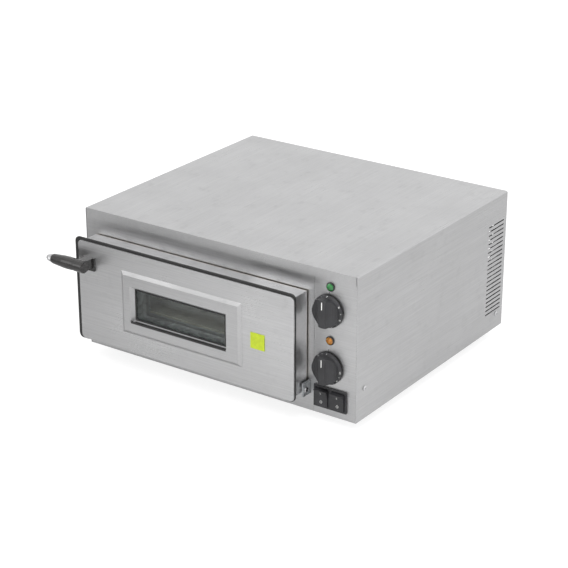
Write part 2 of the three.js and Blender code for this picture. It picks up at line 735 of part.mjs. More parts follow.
// A domed cap nut on the rod's end.
const handleNut = () =>
  turned(
    [[4.2, 0.3], [6.8, 0.3], [6.8, 6], [6.2, 6.4], [5.6, 9.5], [3.6, 12.2], [0, 13.2], [0, 7],
      [4.2, 7], [4.2, 0.3]],
    [-1, 0, 0], 12,
  );

// ---------------------------------------------------------------- hinges

// x range of a hinge lug, in the gap between the door pan and the edge of the seal.
function lugSpan(side) {
  return side < 0 ? [PAN.x0 - 6, PAN.x0 - 3] : [PAN.x1 + 3, PAN.x1 + 6];
}

function hingeBracket(side) {
  const [x0, x1] = lugSpan(side);
  const lug = block(x0, x1, HINGE.y - 6, 3.4, HINGE.z - 12, HINGE.z + 12);
  const inward = side < 0 ? [x0, x1 + 11] : [x0 - 11, x1];
  const flange = block(...inward, 1.9, 3.4, HINGE.z - 12, HINGE.z + 12);
  const bore = rod("x", HINGE.pin_r + 0.2, x0 - 5, x1 + 5, [0, HINGE.y, HINGE.z]);
  return cutBy(joined([lug, flange]), [bore]);
}

const hingePin = (side) =>
  turned(
    [[0, -18], [HINGE.pin_r, -18], [HINGE.pin_r, 0.2], [5, 0.2], [5, 2.2], [4, 3], [0, 3]],
    [side, 0, 0], 12,
  );

// ---------------------------------------------------------------- assembly

add(casing, "casing_wrap", casingWrap(), steel);
add(casing, "base_pan", basePan(), galvanised);
add(casing, "rear_panel", rearPanel(), steel);
add(casing, "front_frame", frontFrame(), steel);
add(casing, "control_panel", controlPanel(), steel);
add(casing, "compartment_wall", compartmentWall(), galvanised);
for (const [place, x, y] of footPlaces()) {
  add(casing, "foot_" + place, foot(), silicone, [x, y, 0]);
}
for (const [place, side, y, z] of screwPlaces()) {
  add(casing, "casing_screw_" + place, casingScrew(side), bright_steel, [side * RIGHT, y, z]);
}

add(chamber, "chamber_liner", chamberLiner(), chamber_steel);
add(chamber, "chamber_insulation", chamberInsulation(), wool);
add(chamber, "baking_stone", bakingStone(), cordierite);
add(chamber, "stone_rail_left", stoneRail(-1), chamber_steel);
add(chamber, "stone_rail_right", stoneRail(1), chamber_steel);
add(chamber, "lower_heater", heater(), element_sheath, [0, 0, HEATER_Z.lower]);
add(chamber, "upper_heater", heater(), element_sheath, [0, 0, HEATER_Z.upper]);
add(chamber, "thermostat_bulb", thermostatBulb(), brass);
const port = [CHAMBER.x1, LAMP_PORT.y, LAMP_PORT.z];
add(chamber, "lamp_housing", lampHousing(), galvanised, port);
add(chamber, "lamp_bulb", lampBulb(), glass, port);
add(chamber, "lamp_lens", lampLens(), glass, port);

for (const [word, control] of [["timer", TIMER], ["thermostat", THERMOSTAT]]) {
  const at = [DIAL_X, 0, control.z];
  add(controls, word + "_unit", controlUnit(), galvanised, at);
  add(controls, word + "_shaft", controlShaft(), brass, at);
  add(controls, word + "_knob", knob(), black_plastic, at);
}
add(controls, "power_lamp", pilotLamp(), green, [PILOT_X, 0, TIMER.pilot_z]);
add(controls, "heating_lamp", pilotLamp(), amber, [PILOT_X, 0, THERMOSTAT.pilot_z]);
add(controls, "switch_housing", switchHousing(), black_plastic);
["power_rocker", "light_rocker"].forEach((name, i) => {
  const middle = (SWITCH.z0 + SWITCH.z1) / 2;
  add(controls, name, rocker(), black_plastic, [rockerPlace(i), 2, middle]);
});

add(mains, "terminal_block", terminalBlock(), white_plastic);
add(mains, "wiring_loom", wiringLoom(), black_plastic);
add(mains, "cord_gland", cordGland(), black_plastic, [GLAND.x, BODY.d, GLAND.z]);
add(mains, "power_cord", powerCord(), silicone);
add(mains, "power_plug", powerPlug(), black_plastic, [GLAND.x - 122, BODY.d + 32, 19]);

add(door, "door_skin", doorSkin(), bright_steel);
add(door, "door_inner_pan", doorPan(), bright_steel);
add(door, "door_insulation", doorInsulation(), wool);
add(door, "door_gasket", doorGasket(), silicone);
add(door, "window_bezel", windowBezel(), bright_steel);
add(door, "window_sill_seal", sillSeal(), silicone);
add(door, "window_gasket", windowGasket(), silicone);
add(door, "window_outer_glass", pane(), glass, [0, OUTER_GLASS_Y, 0]);
add(door, "window_inner_glass", pane(), glass, [0, PAN.back - SHEET - FIT - GLASS_T, 0]);
add(door, "window_retainer", windowRetainer(), galvanised);
add(door, "handle_bracket", handleBracket(), black_plastic);
add(door, "handle_rod", handleRod(), bright_steel);
add(door, "handle_grip", handleGrip(), black_plastic, [HANDLE.grip0, HANDLE.y, HANDLE.z]);
add(door, "handle_cap_nut", handleNut(), bright_steel, [HANDLE.grip1, HANDLE.y, HANDLE.z]);
add(door, "door_label", doorLabel(), yellow, [LABEL.x, DOOR.front, LABEL.z]);
for (const [side, word] of [[-1, "left"], [1, "right"]]) {
  const outside = side < 0 ? lugSpan(side)[0] : lugSpan(side)[1];
  add(door, "hinge_bracket_" + word, hingeBracket(side), galvanised);
  add(door, "hinge_pin_" + word, hingePin(side), bright_steel, [outside, HINGE.y, HINGE.z]);
}

// Origin: bottom centre of the whole envelope.
const envelope = new THREE.Box3().setFromObject(oven, true);
const centre = envelope.getCenter(new THREE.Vector3());
oven.position.set(-centre.x, -centre.y, -envelope.min.z);

export default oven;
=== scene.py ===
"""Looks for the countertop pizza oven: materials, small fittings, stage, light and camera."""
import math

import bmesh
import bpy
from mathutils import Matrix, Vector
from mathutils.bvhtree import BVHTree


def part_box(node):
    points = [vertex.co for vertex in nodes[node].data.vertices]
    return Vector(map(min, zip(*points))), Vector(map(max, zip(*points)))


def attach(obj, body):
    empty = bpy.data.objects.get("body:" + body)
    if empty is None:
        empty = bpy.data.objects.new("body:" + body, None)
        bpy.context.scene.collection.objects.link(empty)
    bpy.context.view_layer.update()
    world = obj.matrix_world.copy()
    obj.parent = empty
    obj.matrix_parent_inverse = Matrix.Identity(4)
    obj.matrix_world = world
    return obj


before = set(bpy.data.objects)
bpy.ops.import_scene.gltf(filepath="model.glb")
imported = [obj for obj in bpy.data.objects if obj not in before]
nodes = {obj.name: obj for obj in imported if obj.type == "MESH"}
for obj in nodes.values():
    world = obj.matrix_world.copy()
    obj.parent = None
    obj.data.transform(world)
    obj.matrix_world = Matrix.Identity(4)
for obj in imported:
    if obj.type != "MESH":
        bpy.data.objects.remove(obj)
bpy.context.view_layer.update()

for material in list(bpy.data.materials):
    bpy.data.materials.remove(material)  # every CAD node gets one of the materials below

MM = 0.001
X, Y, Z = Vector((1, 0, 0)), Vector((0, 1, 0)), Vector((0, 0, 1))
SHARP = math.radians(32)  # edges that turn by more than this are shaded and rounded as edges


# ---------------------------------------------------------------- material graphs

class Graph:
    """Short-hand for one material's node tree. Places are object coordinates, in metres."""

    def __init__(self, name):
        self.material = bpy.data.materials.new(name)
        self.material.use_nodes = True
        self.tree = self.material.node_tree
        self.shader = self.tree.nodes["Principled BSDF"]
        self.place = self.add("ShaderNodeTexCoord").outputs["Object"]

    def add(self, kind, **settings):
        node = self.tree.nodes.new(kind)
        for key, value in settings.items():
            setattr(node, key, value)
        return node

    def feed(self, socket, value):
        if isinstance(value, bpy.types.NodeSocket):
            self.tree.links.new(value, socket)
        elif socket.type == "RGBA":
            socket.default_value = (*value, 1)
        else:
            socket.default_value = value

    def set(self, inputs):
        for name, value in inputs.items():
            self.feed(self.shader.inputs[name], value)

    def math(self, operation, a, b=0.0, clamp=False):
        node = self.add("ShaderNodeMath", operation=operation, use_clamp=clamp)
        self.feed(node.inputs[0], a)
        self.feed(node.inputs[1], b)
        return node.outputs[0]

    def stretched(self, scale):
        mapping = self.add("ShaderNodeMapping")
        self.feed(mapping.inputs["Vector"], self.place)
        self.feed(mapping.inputs["Scale"], scale)
        return mapping.outputs[0]

    def noise(self, scale, detail, rough=0.5):
        """Noise from 0 to 1; scale is features per metre, one number or one per axis."""
        node = self.add("ShaderNodeTexNoise")
        if isinstance(scale, tuple):
            self.feed(node.inputs["Vector"], self.stretched(scale))
            node.inputs["Scale"].default_value = 1
        else:
            self.feed(node.inputs["Vector"], self.place)
            node.inputs["Scale"].default_value = scale
        node.inputs["Detail"].default_value = detail
        node.inputs["Roughness"].default_value = rough
        return node.outputs[0]

    def cells(self, scale, output="Distance"):
        node = self.add("ShaderNodeTexVoronoi")
        self.feed(node.inputs["Vector"], self.place)
        node.inputs["Scale"].default_value = scale
        return node.outputs[output]

    def step(self, value, low, high, to_low=0.0, to_high=1.0):
        """Maps low..high to to_low..to_high with a soft S shape, held at both ends."""
        node = self.add("ShaderNodeMapRange", interpolation_type="SMOOTHSTEP")
        for index, number in enumerate((value, low, high, to_low, to_high)):
            self.feed(node.inputs[index], number)
        return node.outputs[0]

    def mix(self, amount, a, b, blend="MIX"):
        """Colour a at amount 0 and b at amount 1, through the colour sockets of the mix node."""
        node = self.add("ShaderNodeMix", data_type="RGBA", blend_type=blend)
        self.feed(node.inputs["Factor"], amount)
        self.feed(node.inputs[6], a)
        self.feed(node.inputs[7], b)
        return node.outputs[2]

    def split(self, vector):
        node = self.add("ShaderNodeSeparateXYZ")
        self.feed(node.inputs[0], vector)
        return node.outputs

    def bump(self, height, strength, distance):
        node = self.add("ShaderNodeBump")
        self.feed(node.inputs["Height"], height)
        node.inputs["Strength"].default_value = strength
        node.inputs["Distance"].default_value = distance
        return node.outputs[0]

    def distance(self, across, along):
        """Distance in a plane from the two offsets."""
        squares = self.math("ADD", self.math("MULTIPLY", across, across),
                            self.math("MULTIPLY", along, along))
        return self.math("SQRT", squares)

    def edges(self, radius):
        """1 on edges sharper than the radius, 0 on flats."""
        bevel = self.add("ShaderNodeBevel", samples=4)
        bevel.inputs["Radius"].default_value = radius
        normal = self.add("ShaderNodeNewGeometry").outputs["Normal"]
        dot = self.add("ShaderNodeVectorMath", operation="DOT_PRODUCT")
        self.feed(dot.inputs[0], bevel.outputs[0])
        self.feed(dot.inputs[1], normal)
        return self.step(dot.outputs["Value"], 0.995, 0.8)

    def along(self, axis):
        """The axis as a tangent that turns with the body the piece rides on."""
        node = self.add("ShaderNodeVectorTransform", vector_type="VECTOR", convert_from="OBJECT",
                        convert_to="WORLD")
        self.feed(node.inputs[0], tuple(axis))
        return node.outputs[0]


def scaled(color, factor):
    return tuple(min(1.0, channel * factor) for channel in color)


def stretched_scale(axis, along, across):
    return tuple(along if component else across for component in axis)


def brushed(name, axis, color, roughness, marks=1.0):
    """Brushed sheet: fine grain along the axis, rubbed patches, faint smears, polished edges."""
    g = Graph(name)
    coarse = g.noise(stretched_scale(axis, 9, 700), 3)
    fine = g.noise(stretched_scale(axis, 45, 4200), 2)
    lines = g.noise(stretched_scale(axis, 2.5, 160), 2)
    rubbed = g.noise(7, 4, 0.6)
    smears = g.step(g.noise((55, 38, 46), 5, 0.65), 0.52, 0.74)
    edge = g.edges(0.9 * MM)
    grain = g.math("ADD", g.math("MULTIPLY", coarse, 0.55), g.math("MULTIPLY", fine, 0.45))
    tone = g.mix(g.step(grain, 0.3, 0.7), scaled(color, 0.9), scaled(color, 1.07))
    tone = g.mix(g.step(lines, 0.35, 0.7, 0.0, 0.16), tone, scaled(color, 0.84))
    tone = g.mix(g.math("MULTIPLY", smears, 0.10 * marks), tone, scaled(color, 0.72))
    tone = g.mix(g.math("MULTIPLY", edge, 0.5), tone, scaled(color, 1.08))
    dull = g.math("ADD", g.step(grain, 0.25, 0.75, -0.06, 0.06),
                  g.step(rubbed, 0.35, 0.65, -0.05, 0.06))
    dull = g.math("ADD", dull, g.math("MULTIPLY", smears, 0.12 * marks))
    dull = g.math("ADD", dull, g.math("MULTIPLY", edge, -0.1))
    g.set({
        "Base Color": tone,
        "Metallic": 1.0,
        "Roughness": g.math("ADD", dull, roughness, clamp=True),
        "Anisotropic": 0.55,
        "Tangent": g.along(axis),
        "Normal": g.bump(grain, 0.22, 0.05 * MM),
    })
    return g


def plain_metal(name, color, roughness):
    """Turned or polished metal with fine scratches and a slightly uneven shine."""
    g = Graph(name)
    cloudy = g.noise(60, 4)
    scratch = g.noise((1500, 260, 1500), 2)
    edge = g.edges(0.4 * MM)
    tone = g.mix(g.step(cloudy, 0.3, 0.7), scaled(color, 0.88), scaled(color, 1.05))
    tone = g.mix(g.math("MULTIPLY", edge, 0.4), tone, scaled(color, 1.2))
    dull = g.math("ADD", g.step(scratch, 0.3, 0.7, -0.06, 0.08),
                  g.step(cloudy, 0.3, 0.7, -0.04, 0.06))
    g.set({
        "Base Color": tone,
        "Metallic": 1.0,
        "Roughness": g.math("ADD", dull, roughness, clamp=True),
        "Normal": g.bump(scratch, 0.15, 0.04 * MM),
    })
    return g


def galvanised(name):
    """Zinc-coated sheet with its spangle and a fine bloom."""
    g = Graph(name)
    spangle = g.cells(140, output="Color")
    grey = g.split(spangle)[0]
    fine = g.noise(900, 3)
    tone = g.mix(g.step(grey, 0.1, 0.9), (0.40, 0.42, 0.43), (0.62, 0.64, 0.66))
    tone = g.mix(g.step(fine, 0.55, 0.8, 0.0, 0.4), tone, (0.66, 0.67, 0.66))
    g.set({
        "Base Color": tone,
        "Metallic": 0.9,
        "Roughness": g.math("ADD", g.step(grey, 0, 1, 0.38, 0.52), g.step(fine, 0.3, 0.7, 0, 0.08)),
        "Normal": g.bump(g.math("ADD", grey, g.math("MULTIPLY", fine, 0.4)), 0.12, 0.1 * MM),
    })
    return g


def moulded(name, color, roughness, grain, strength, coat=0.0):
    """Moulded plastic or rubber: fine texture, handling shine and a little dust."""
    g = Graph(name)
    texture = g.noise(grain, 3, 0.6)
    handled = g.noise(38, 4)
    dust = g.step(g.noise(240, 6, 0.7), 0.58, 0.82)
    edge = g.edges(0.7 * MM)
    tone = g.mix(g.step(handled, 0.3, 0.7), scaled(color, 0.8), scaled(color, 1.35))
    tone = g.mix(g.math("MULTIPLY", dust, 0.05), tone, (0.32, 0.31, 0.29))
    tone = g.mix(g.math("MULTIPLY", edge, 0.22), tone, scaled(color, 3.2))
    dull = g.math("ADD", g.step(handled, 0.3, 0.7, -0.08, 0.06), g.math("MULTIPLY", edge, -0.08))
    g.set({
        "Base Color": tone,
        "Roughness": g.math("ADD", dull, roughness, clamp=True),
        "Coat Weight": coat,
        "Coat Roughness": 0.12,
        "Normal": g.bump(texture, strength, 0.1 * MM),
    })
    return g


def heat_tinted(name, axis, color, roughness, node):
    """Brushed sheet whose rearmost skin, on the chamber side, has turned straw and brown."""
    g = brushed(name, axis, color, roughness, marks=1.6)
    shaded = g.shader.inputs["Base Color"].links[0].from_socket
    reach = 0.8 * MM
    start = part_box(node)[1].y - reach
    depth = g.math("MULTIPLY", g.math("SUBTRACT", g.split(g.place)[1], start), 1 / reach)
    wander = g.math("ADD", depth, g.step(g.noise(16, 4), 0.2, 0.8, -0.35, 0.35))
    straw = g.mix(0.75, shaded, (0.83, 0.66, 0.38), "MULTIPLY")
    brown = g.mix(0.8, shaded, (0.55, 0.42, 0.33), "MULTIPLY")
    tone = g.mix(g.step(wander, 0.0, 0.5), shaded, straw)
    tone = g.mix(g.step(wander, 0.5, 1.2, 0.0, 0.75), tone, brown)
    g.set({"Base Color": tone})
    return g


def baked_chamber(name):
    """Liner steel after use: straw, brown and blue heat colours, and grease speckle low down."""
    g = brushed(name, X, (0.50, 0.48, 0.45), 0.42, marks=2.0)
    shaded = g.shader.inputs["Base Color"].links[0].from_socket
    lo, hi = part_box("chamber_liner")
    height = g.math("DIVIDE", g.math("SUBTRACT", g.split(g.place)[2], lo.z), hi.z - lo.z)
    wander = g.math("ADD", height, g.step(g.noise(14, 5), 0.2, 0.8, -0.28, 0.28))
    straw = g.mix(1.0, shaded, (0.86, 0.70, 0.45), "MULTIPLY")
    brown = g.mix(1.0, shaded, (0.60, 0.45, 0.36), "MULTIPLY")
    blue = g.mix(1.0, shaded, (0.52, 0.58, 0.78), "MULTIPLY")
    tone = g.mix(g.step(wander, 0.25, 0.6), brown, straw)
    tone = g.mix(g.step(wander, 0.75, 1.05), tone, blue)
    spots = g.math("MULTIPLY", g.step(g.cells(170), 0.18, 0.05), g.step(wander, 0.55, 0.1))
    tone = g.mix(g.math("MULTIPLY", spots, 0.7), tone, (0.07, 0.045, 0.03))
    g.set({"Base Color": tone})
    return g


def stone(name):
    """Cordierite: warm grey slab with speckle, pores, scorched rings and a trace of flour."""
    g = Graph(name)
    lo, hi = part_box("baking_stone")
    middle = (lo + hi) / 2
    x, y, _ = g.split(g.place)
    dx, dy = g.math("SUBTRACT", x, middle.x - 0.02), g.math("SUBTRACT", y, middle.y + 0.01)
    far = g.math("ADD", g.distance(dx, dy), g.step(g.noise(26, 4), 0.2, 0.8, -0.012, 0.012))
    ring = g.math("MULTIPLY", g.step(far, 0.115, 0.145), g.step(far, 0.175, 0.15))
    blotch = g.noise(20, 5, 0.6)
    speck = g.step(g.cells(620), 0.16, 0.06)
    grit = g.noise(1400, 4, 0.7)
    pores = g.step(g.cells(330), 0.10, 0.03)
    flour = g.step(g.noise(95, 7, 0.72), 0.60, 0.78)
    tone = g.mix(g.step(blotch, 0.3, 0.7), (0.50, 0.42, 0.32), (0.66, 0.58, 0.46))
    tone = g.mix(g.math("MULTIPLY", speck, 0.55), tone, (0.28, 0.21, 0.15))
    tone = g.mix(g.step(grit, 0.55, 0.8, 0.0, 0.35), tone, (0.78, 0.71, 0.60))
    tone = g.mix(g.math("MULTIPLY", ring, 0.42), tone, (0.19, 0.12, 0.07))
    tone = g.mix(g.math("MULTIPLY", flour, 0.28), tone, (0.86, 0.83, 0.76))
    relief = g.math("SUBTRACT", g.math("MULTIPLY", grit, 0.6), pores)
    g.set({
        "Base Color": tone,
        "Roughness": g.step(blotch, 0.2, 0.8, 0.82, 0.96),
        "Normal": g.bump(relief, 0.55, 0.25 * MM),
    })
    return g


def wool(name):
    """Mineral wool: clumps and fine fibres."""
    g = Graph(name)
    fibres = g.noise((240, 1700, 900), 5, 0.7)
    clumps = g.noise(75, 5, 0.6)
    tone = g.mix(g.step(clumps, 0.3, 0.7), (0.60, 0.53, 0.38), (0.82, 0.77, 0.63))
    tone = g.mix(g.step(fibres, 0.45, 0.7, 0.0, 0.5), tone, (0.90, 0.87, 0.78))
    height = g.math("ADD", g.math("MULTIPLY", clumps, 1.4), fibres)
    g.set({
        "Base Color": tone,
        "Roughness": 0.97,
        "Sheen Weight": 0.25,
        "Normal": g.bump(height, 0.9, 0.9 * MM),
    })
    return g


def sheath(name):
    """Dark oxidised tube of a heating element."""
    g = Graph(name)
    oxide = g.noise(130, 5, 0.65)
    fine = g.noise(1300, 3)
    tone = g.mix(g.step(oxide, 0.35, 0.65), (0.10, 0.095, 0.095), (0.25, 0.215, 0.19))
    tone = g.mix(g.step(fine, 0.6, 0.85, 0.0, 0.5), tone, (0.36, 0.33, 0.31))
    g.set({
        "Base Color": tone,
        "Metallic": 0.75,
        "Roughness": g.step(oxide, 0.3, 0.7, 0.48, 0.72),
        "Normal": g.bump(fine, 0.3, 0.1 * MM),
    })
    return g


GLASS_INDEX = 1.55


def pane(name, tint, smear):
    """Flat glass: clear straight through, mirror-like at a glance, with wiped smears."""
    g = Graph(name)
    streaks = g.step(g.noise((34, 90, 150), 5, 0.65), 0.45, 0.75)
    output = g.tree.nodes["Material Output"]
    clear = g.add("ShaderNodeBsdfTransparent")
    smeared = g.mix(g.math("MULTIPLY", streaks, smear), tint, scaled(tint, 0.8))
    g.feed(clear.inputs["Color"], smeared)
    mirror = g.add("ShaderNodeBsdfGlossy")
    g.feed(mirror.inputs["Roughness"], g.step(streaks, 0, 1, 0.015, 0.10))
    fresnel = g.add("ShaderNodeFresnel")
    behind = g.add("ShaderNodeNewGeometry").outputs["Backfacing"]
    g.feed(fresnel.inputs["IOR"], g.step(behind, 0, 1, GLASS_INDEX, 1 / GLASS_INDEX))
    both = g.add("ShaderNodeMixShader")
    g.feed(both.inputs[0], fresnel.outputs[0])
    g.feed(both.inputs[1], clear.outputs[0])
    g.feed(both.inputs[2], mirror.outputs[0])
    g.tree.links.new(both.outputs[0], output.inputs["Surface"])
    return g


def lens(name, color):
    """Pilot lens: translucent coloured plastic with fine moulded ribs."""
    g = Graph(name)
    ribs = g.add("ShaderNodeTexWave", wave_type="RINGS", rings_direction="Y")
    g.feed(ribs.inputs["Vector"], g.place)
    ribs.inputs["Scale"].default_value = 220
    tone = g.mix(g.step(g.noise(180, 3), 0.3, 0.7), scaled(color, 0.7), scaled(color, 1.2))
    g.set({
        "Base Color": tone,
        "Roughness": g.step(g.noise(300, 2), 0.3, 0.7, 0.10, 0.22),
        "Subsurface Weight": 0.25,
        "Subsurface Scale": 1.5 * MM,
        "Coat Weight": 0.6,
        "Normal": g.bump(ribs.outputs[1], 0.12, 0.1 * MM),
    })
    return g


LENS_EDGE = (6.1 * MM, 6.3 * MM)  # radii between which the lens gives way to the bezel


def pilot(name, node, color):
    """Black bezel round a translucent ribbed lens, split by distance from the lamp's axis."""
    g = lens(name, color)
    lo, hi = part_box(node)
    x, _, z = g.split(g.place)
    dx = g.math("SUBTRACT", x, (lo.x + hi.x) / 2)
    dz = g.math("SUBTRACT", z, (lo.z + hi.z) / 2)
    bezel = g.step(g.distance(dx, dz), *LENS_EDGE)
    inside = g.shader.inputs["Base Color"].links[0].from_socket
    g.set({
        "Base Color": g.mix(bezel, inside, (0.02, 0.02, 0.02)),
        "Subsurface Weight": g.step(bezel, 0, 1, 0.25, 0),
        "Coat Weight": g.step(bezel, 0, 1, 0.6, 0.1),
    })
    return g


def printed(name, color):
    """Screen-printed ink or a vinyl patch: slightly uneven cover, fine orange-peel."""
    g = Graph(name)
    cover = g.noise(170, 5, 0.6)
    peel = g.noise(1600, 2)
    tone = g.mix(g.step(cover, 0.35, 0.65), scaled(color, 0.9), scaled(color, 1.05))
    g.set({
        "Base Color": tone,
        "Roughness": g.step(cover, 0.3, 0.7, 0.43, 0.57),
        "Normal": g.bump(peel, 0.1, 0.05 * MM),
    })
    return g


STEEL = (0.60, 0.60, 0.605)
mats = {}
for graph in (
    brushed("wrap_steel", Y, STEEL, 0.36),
    brushed("front_steel", X, STEEL, 0.36),
    brushed("skin_steel", X, scaled(STEEL, 1.04), 0.33),
    # painted light: the door pan's steel is 1.25 times brighter than the other steel, which
    # lightens the door's shaded sides; its heat tint is its own colour
    heat_tinted("pan_steel", X, scaled(STEEL, 1.25), 0.36, "door_inner_pan"),
    plain_metal("bright_steel", (0.70, 0.70, 0.71), 0.2),
    brushed("bezel_steel", X, scaled(STEEL, 0.96), 0.38, marks=0.7),
    plain_metal("copper_alloy", (0.62, 0.45, 0.24), 0.34),
    galvanised("zinc_sheet"),
    baked_chamber("chamber_steel"),
    stone("cordierite"),
    wool("mineral_wool"),
    sheath("element_sheath"),
    pane("window_glass", (0.90, 0.92, 0.91), 0.35),
    pane("lamp_glass", (0.95, 0.97, 0.96), 0.1),
    pilot("power_pilot", "power_lamp", (0.02, 0.16, 0.04)),
    pilot("heating_pilot", "heating_lamp", (0.34, 0.13, 0.01)),
    moulded("black_plastic", (0.022, 0.022, 0.024), 0.40, 1500, 0.22),
    moulded("phenolic", (0.016, 0.015, 0.015), 0.22, 500, 0.06, coat=0.5),
    moulded("black_rubber", (0.02, 0.02, 0.02), 0.62, 900, 0.35),
    moulded("white_plastic", (0.72, 0.71, 0.67), 0.45, 900, 0.15),
    printed("yellow_vinyl", (0.43, 0.53, 0.02)),
    printed("white_ink", (0.78, 0.78, 0.76)),
    printed("black_ink", (0.03, 0.03, 0.03)),
):
    mats[graph.material.name] = graph.material


# ---------------------------------------------------------------- CAD nodes

def dressed(name, material, bevel):
    """Gives a CAD node its material, a small rounding of sharp edges, and smooth round faces."""
    node = nodes[name]
    node.data.materials.clear()
    node.data.materials.append(mats[material])
    if bevel:
        rounding = node.modifiers.new("rounding", "BEVEL")
        rounding.width = bevel * MM
        rounding.segments = 2
        rounding.limit_method = "ANGLE"
        rounding.angle_limit = SHARP
        rounding.use_clamp_overlap = True
        rounding.harden_normals = False
    node.data.shade_smooth()
    node.data.set_sharp_from_angle(angle=SHARP)


SHEET_ROUNDING = 0.35
SHEET_NODES = {
    "casing_wrap": "wrap_steel",
    "rear_panel": "front_steel",
    "front_frame": "front_steel",
    "control_panel": "front_steel",
    "door_skin": "skin_steel",
    "door_inner_pan": "pan_steel",
    "base_pan": "zinc_sheet",
    "compartment_wall": "zinc_sheet",
    "window_retainer": "zinc_sheet",
    "hinge_bracket_left": "zinc_sheet",
    "hinge_bracket_right": "zinc_sheet",
    "chamber_liner": "chamber_steel",
    "stone_rail_left": "chamber_steel",
    "stone_rail_right": "chamber_steel",
}
for name, material in SHEET_NODES.items():
    dressed(name, material, SHEET_ROUNDING)

SOLID_NODES = {  # material, and rounding of the edges in millimetres
    "window_bezel": ("bezel_steel", 0.9),
    "lamp_housing": ("zinc_sheet", 0.4),
    "timer_unit": ("zinc_sheet", 0.8),
    "thermostat_unit": ("zinc_sheet", 0.8),
    "chamber_insulation": ("mineral_wool", 0),
    "door_insulation": ("mineral_wool", 0),
    "baking_stone": ("cordierite", 1.5),
    "lower_heater": ("element_sheath", 0),
    "upper_heater": ("element_sheath", 0),
    "thermostat_bulb": ("copper_alloy", 0),
    "timer_shaft": ("copper_alloy", 0.3),
    "thermostat_shaft": ("copper_alloy", 0.3),
    "lamp_bulb": ("lamp_glass", 0),
    "lamp_lens": ("lamp_glass", 0),
    "window_outer_glass": ("window_glass", 0.4),
    "window_inner_glass": ("window_glass", 0.4),
    "timer_knob": ("black_plastic", 0.7),
    "thermostat_knob": ("black_plastic", 0.7),
    "switch_housing": ("black_plastic", 0.5),
    "power_rocker": ("black_plastic", 0.8),
    "light_rocker": ("black_plastic", 0.8),
    "handle_bracket": ("phenolic", 1.0),
    "handle_grip": ("phenolic", 0.6),
    "handle_rod": ("bright_steel", 0.4),
    "handle_cap_nut": ("bright_steel", 0.4),
    "hinge_pin_left": ("bright_steel", 0.3),
    "hinge_pin_right": ("bright_steel", 0.3),
    "cord_gland": ("black_plastic", 0.5),
    "power_plug": ("black_plastic", 0.8),
    "power_cord": ("black_rubber", 0),
    "wiring_loom": ("black_plastic", 0),
    "terminal_block": ("white_plastic", 0.8),
    "power_lamp": ("power_pilot", 0.3),
    "heating_lamp": ("heating_pilot", 0.3),
    "window_sill_seal": ("black_rubber", 0.5),
    "door_gasket": ("black_rubber", 0.6),
    "window_gasket": ("black_rubber", 0.2),
    "door_label": ("yellow_vinyl", 0.15),
}
for name, (material, bevel) in SOLID_NODES.items():
    dressed(name, material, bevel)
for name in nodes:
    if name.startswith("foot_"):
        dressed(name, "black_rubber", 0.8)
    if name.startswith("casing_screw_"):
        dressed(name, "bright_steel", 0.2)


# ---------------------------------------------------------------- mesh helpers

class Shape:
    """A mesh under construction, in metres, in the coordinates of the CAD at rest."""

    def __init__(self):
        self.bm = bmesh.new()

    def lathe(self, profile, at, way, segments):
        """Turns (radius, height) points in millimetres about a line through `at` along `way`."""
        turn = Vector(way).to_track_quat("Z", "Y").to_matrix()
        rows = []
        for radius, height in profile:
            count = segments if radius else 1
            row = []
            for i in range(count):
                a = 2 * math.pi * i / segments
                local = Vector((radius * math.cos(a), radius * math.sin(a), height)) * MM
                row.append(self.bm.verts.new(Vector(at) + turn @ local))
            rows.append(row)
        for low, high in zip(rows, rows[1:]):
            for i in range(segments):
                j = (i + 1) % segments
                corners = [low[i % len(low)], low[j % len(low)]]
                corners += [high[j % len(high)], high[i % len(high)]]
                unique = list(dict.fromkeys(corners))
                if len(unique) > 2:
                    self.bm.faces.new(unique)
        return self

    def block(self, lo, hi):
        """A box from one corner to the other."""
        size = Matrix.Diagonal((*(hi - lo), 1))
        bmesh.ops.create_cube(self.bm, matrix=Matrix.Translation((lo + hi) / 2) @ size)
        return self

    def band(self, outline, width, axis):
        """A strap whose closed outline, a list of places, is pushed both ways along an axis."""
        half = Vector(axis) * width / 2
        sides = [[self.bm.verts.new(Vector(p) + s * half) for p in outline] for s in (-1, 1)]
        count = len(outline)
        for i in range(count):
            j = (i + 1) % count
            self.bm.faces.new([sides[0][i], sides[0][j], sides[1][j], sides[1][i]])
        self.bm.faces.new(list(reversed(sides[0])))
        self.bm.faces.new(sides[1])
        return self

    def copies(self, mesh, places):
        """Adds the mesh at each (place, direction): its own +Z points along the direction."""
        for at, way in places:
            start = len(self.bm.verts)
            self.bm.from_mesh(mesh)
            self.bm.verts.ensure_lookup_table()
            turn = Vector(way).to_track_quat("Z", "Y").to_matrix().to_4x4()
            bmesh.ops.transform(self.bm, matrix=Matrix.Translation(at) @ turn,
                                verts=self.bm.verts[start:])
        return self

    def mesh(self, name):
        bmesh.ops.recalc_face_normals(self.bm, faces=self.bm.faces)
        mesh = bpy.data.meshes.new(name)
        self.bm.to_mesh(mesh)
        self.bm.free()
        return mesh

    def piece(self, name, material, body, slot):
        piece_of(self.mesh(name), name, material, body)


def piece_of(mesh, name, material, body):
    """Puts the mesh in the scene as a visible piece that rides on a body."""
    mesh.materials.clear()
    mesh.materials.append(mats[material])
    mesh.shade_smooth()
    mesh.set_sharp_from_angle(angle=SHARP)
    made = bpy.data.objects.new(name, mesh)
    bpy.context.scene.collection.objects.link(made)
    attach(made, body)


